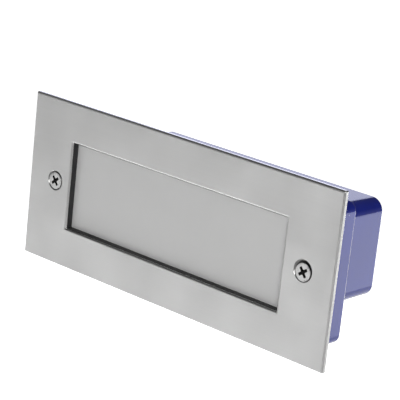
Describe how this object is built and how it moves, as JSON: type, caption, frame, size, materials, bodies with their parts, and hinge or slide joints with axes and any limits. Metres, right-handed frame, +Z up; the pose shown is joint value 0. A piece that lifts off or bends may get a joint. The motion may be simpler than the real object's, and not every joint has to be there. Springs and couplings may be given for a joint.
{
  "type": "recessed brick light",
  "caption": "Rectangular recessed light for a wall or paving edge: steel front plate with a frosted window, screwed over a stepped plastic box.",
  "frame": {"origin": "centre of the window, in the plane of the front plate's back face, which is the face of the wall", "axes": "+X to the right along the plate, +Y into the wall, +Z up; the window looks along -Y"},
  "size_m": [0.235, 0.0478, 0.1],
  "materials": {
    "stainless_plate": "fine satin brushing",
    "screw_steel": "turned stainless steel",
    "zinc_steel": "bright zinc plated sheet",
    "frosted_glass": "acid frosted on the room side",
    "black_rubber": "matt black rubber",
    "foam": "closed cell black foam",
    "silicone": "translucent white silicone",
    "blue_plastic": "glossy ultramarine moulding",
    "grey_plastic": "fine grained dark grey nylon",
    "white_plastic": "smooth white moulding",
    "nylon": "natural nylon",
    "white_board": "white solder mask on aluminium",
    "lamp_chip": "yellow phosphor in a white body",
    "solder": "bright solder",
    "brass": "turned brass",
    "green_board": "green solder mask",
    "ferrite": "dark ferrite with yellow tape",
    "can_sleeve": "shrunk sleeve",
    "brown_lead": "brown insulation",
    "blue_lead": "blue insulation",
    "red_lead": "red insulation",
    "black_lead": "black insulation"
  },
  "bodies": {
    "wall_box": {"recess_box": "blue_plastic", "screw_inserts": "brass", "gland_body": "grey_plastic", "gland_washer": "black_rubber", "gland_locknut": "grey_plastic", "gland_seal": "black_rubber"},
    "gland_cap": {"gland_nut": "grey_plastic"},
    "gear_tray": {"lamp_tray": "zinc_steel", "tray_screws": "screw_steel", "reflector": "white_plastic", "led_board": "white_board", "led_chips": "lamp_chip", "board_screws": "screw_steel", "solder_joints": "solder", "lead_grommet": "white_plastic", "driver_base": "white_plastic", "driver_lid": "white_plastic", "driver_board": "green_board", "driver_transformer": "ferrite", "driver_capacitor": "can_sleeve", "gear_nuts": "zinc_steel", "terminal_body": "nylon", "terminal_clamps": "brass", "terminal_screws": "screw_steel", "mains_lead_live": "brown_lead", "mains_lead_neutral": "blue_lead", "led_lead_plus": "red_lead", "led_lead_minus": "black_lead"},
    "front_unit": {"front_plate": "stainless_plate", "glass_gasket": "black_rubber", "diffuser_glass": "frosted_glass", "glass_backing": "silicone", "clamp_frame": "zinc_steel", "clamp_nuts": "zinc_steel", "plate_seal": "foam", "screw_seals": "black_rubber"},
    "left_screw": {"plate_screw_left": "screw_steel"},
    "right_screw": {"plate_screw_right": "screw_steel"}
  },
  "joints": [
    {"name": "gear_pull", "type": "slide", "parent": "wall_box", "child": "gear_tray", "axis": [0, -1, 0], "range_m": [0, 0.06]},
    {"name": "front_pull", "type": "slide", "parent": "gear_tray", "child": "front_unit", "axis": [0, -1, 0], "range_m": [0, 0.05]},
    {"name": "left_screw_turn", "type": "hinge", "parent": "front_unit", "child": "left_screw", "pos_m": [-0.0962, 0, 0], "axis": [0, -1, 0], "continuous": true},
    {"name": "right_screw_turn", "type": "hinge", "parent": "front_unit", "child": "right_screw", "pos_m": [0.0962, 0, 0], "axis": [0, -1, 0], "continuous": true},
    {"name": "gland_nut_turn", "type": "hinge", "parent": "wall_box", "child": "gland_cap", "pos_m": [-0.06852, 0.0317, 0.00903], "axis": [-1, 0, 0], "continuous": true}
  ]
}
